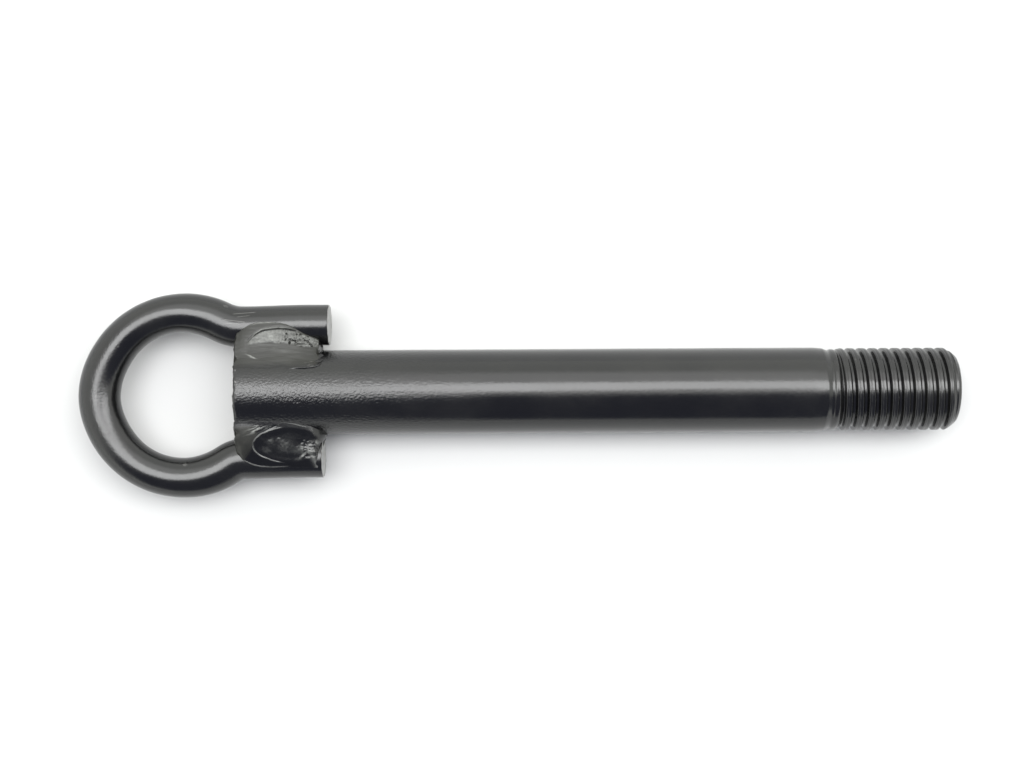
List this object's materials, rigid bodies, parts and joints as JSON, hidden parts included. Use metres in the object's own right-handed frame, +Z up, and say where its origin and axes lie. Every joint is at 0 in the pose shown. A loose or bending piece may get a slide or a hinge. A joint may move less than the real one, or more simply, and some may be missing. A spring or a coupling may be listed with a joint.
{
  "type": "tow eye",
  "caption": "Welded tow eye: a round threaded shank whose plain end sits between the legs of a ring bent from round bar, joined by weld beads.",
  "frame": {"origin": "middle of the bounding box in plan, on the surface that the part lies on", "axes": "+X along the shank toward the thread, +Y toward the side of the eye that ends in the longer leg, +Z up as the part lies at rest"},
  "size_m": [0.2326, 0.0546, 0.0224],
  "materials": {
    "black_coat": "satin black coat over steel, worn a little at the edges",
    "weld_coat": "black coat over rippled weld metal with grey scale"
  },
  "bodies": {
    "root": {"shank": "black_coat", "eye_bar": "black_coat", "weld_front_long_leg": "weld_coat", "weld_front_short_leg": "weld_coat", "weld_back_long_leg": "weld_coat", "weld_back_short_leg": "weld_coat"}
  },
  "joints": []
}
